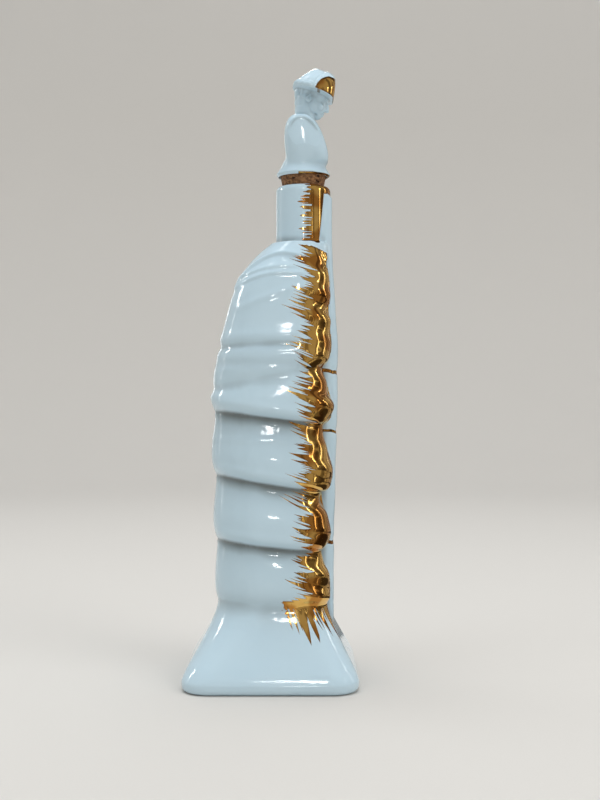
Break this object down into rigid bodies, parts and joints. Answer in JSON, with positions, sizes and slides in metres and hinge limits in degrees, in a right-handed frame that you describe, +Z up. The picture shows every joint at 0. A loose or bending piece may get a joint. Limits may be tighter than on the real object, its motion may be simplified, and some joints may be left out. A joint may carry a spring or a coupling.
{
  "type": "figural liquor decanter",
  "caption": "Glazed porcelain decanter shaped as a cloak with horizontal folds and gilded front edges on a flared square foot, closed by a cork stopper topped with a bust.",
  "frame": {"origin": "middle of the foot, on the table", "axes": "+X is the front, the way the bust looks; +Z is up; the decanter is even about the XZ plane"},
  "size_m": [0.1056, 0.109, 0.3792],
  "materials": {
    "gilded_porcelain": "clear glossy glaze over white porcelain, with fired gold lustre brushed along the cloak's front edges and the neck",
    "bust_porcelain": "clear glossy glaze over white porcelain, with fired gold lustre on the hat's front",
    "cork": "natural cork with pores",
    "glue": "clear yellowed glue"
  },
  "bodies": {
    "decanter": {"decanter_body": "gilded_porcelain"},
    "stopper": {"stopper_cork": "cork", "cork_glue": "glue", "stopper_bust": "bust_porcelain"}
  },
  "joints": [
    {"name": "stopper_pull", "type": "slide", "parent": "decanter", "child": "stopper", "axis": [0, 0, 1], "range_m": [0, 0.06]}
  ]
}
